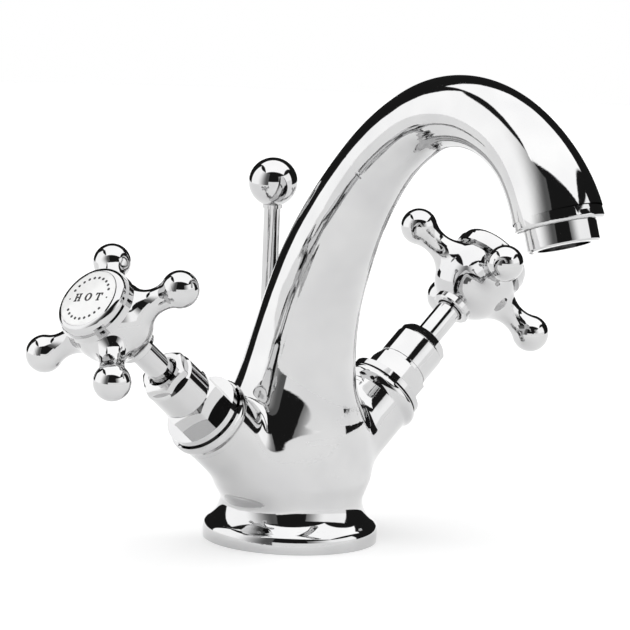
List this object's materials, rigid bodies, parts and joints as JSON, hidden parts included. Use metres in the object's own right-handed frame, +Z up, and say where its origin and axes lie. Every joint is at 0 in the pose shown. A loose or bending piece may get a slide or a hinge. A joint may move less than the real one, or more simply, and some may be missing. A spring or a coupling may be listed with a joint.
{
  "type": "basin mixer faucet",
  "caption": "Chrome one-hole basin mixer with two cross handles on angled valves, an arched spout with an aerator, porcelain index discs and a pop-up lift rod.",
  "frame": {"origin": "centre of the round base, on the deck the base stands on", "axes": "+Z up, the spout reaches towards -Y, the hot valve is on the -X side and the cold valve on the +X side"},
  "size_m": [0.1827, 0.1493, 0.1498],
  "materials": {
    "chrome": "polished chrome plate",
    "brass": "turned brass",
    "steel": "bright stainless steel",
    "porcelain": "glazed white porcelain",
    "ceramic": "lapped ceramic",
    "white_plastic": "moulded acetal",
    "black_rubber": "moulded rubber"
  },
  "bodies": {
    "faucet_body": {"body_casting": "chrome", "base_seal": "black_rubber", "lift_rod_bush": "white_plastic", "aerator_housing": "chrome", "aerator_insert": "white_plastic", "outlet_screen": "steel", "inlet_screen": "steel", "aerator_washer": "black_rubber", "hot_bonnet": "chrome", "hot_bonnet_ring": "black_rubber", "hot_gland_nut": "chrome", "hot_valve_seat": "black_rubber", "hot_fixed_disc": "ceramic", "cold_bonnet": "chrome", "cold_bonnet_ring": "black_rubber", "cold_gland_nut": "chrome", "cold_valve_seat": "black_rubber", "cold_fixed_disc": "ceramic"},
    "hot_handle": {"hot_moving_disc": "ceramic", "hot_spindle": "brass", "hot_spindle_rings": "black_rubber", "hot_thrust_washer": "brass", "hot_spring_clip": "steel", "hot_stem_sleeve": "chrome", "hot_spline_bush": "white_plastic", "hot_cross_handle": "chrome", "hot_handle_screw": "steel", "hot_index_bezel": "chrome", "hot_index_disc": "porcelain"},
    "cold_handle": {"cold_moving_disc": "ceramic", "cold_spindle": "brass", "cold_spindle_rings": "black_rubber", "cold_thrust_washer": "brass", "cold_spring_clip": "steel", "cold_stem_sleeve": "chrome", "cold_spline_bush": "white_plastic", "cold_cross_handle": "chrome", "cold_handle_screw": "steel", "cold_index_bezel": "chrome", "cold_index_disc": "porcelain"},
    "lift_rod": {"lift_rod": "chrome", "lift_rod_knob": "chrome"}
  },
  "joints": [
    {"name": "hot_handle_turn", "type": "hinge", "parent": "faucet_body", "child": "hot_handle", "pos_m": [-0.06894, 0, 0.06945], "axis": [-0.766, 0, 0.6428], "range_deg": [0, 90]},
    {"name": "cold_handle_turn", "type": "hinge", "parent": "faucet_body", "child": "cold_handle", "pos_m": [0.06894, 0, 0.06945], "axis": [0.766, 0, 0.6428], "range_deg": [-90, 0]},
    {"name": "lift_rod_slide", "type": "slide", "parent": "faucet_body", "child": "lift_rod", "axis": [0, 0, 1], "range_m": [0, 0.025]}
  ]
}
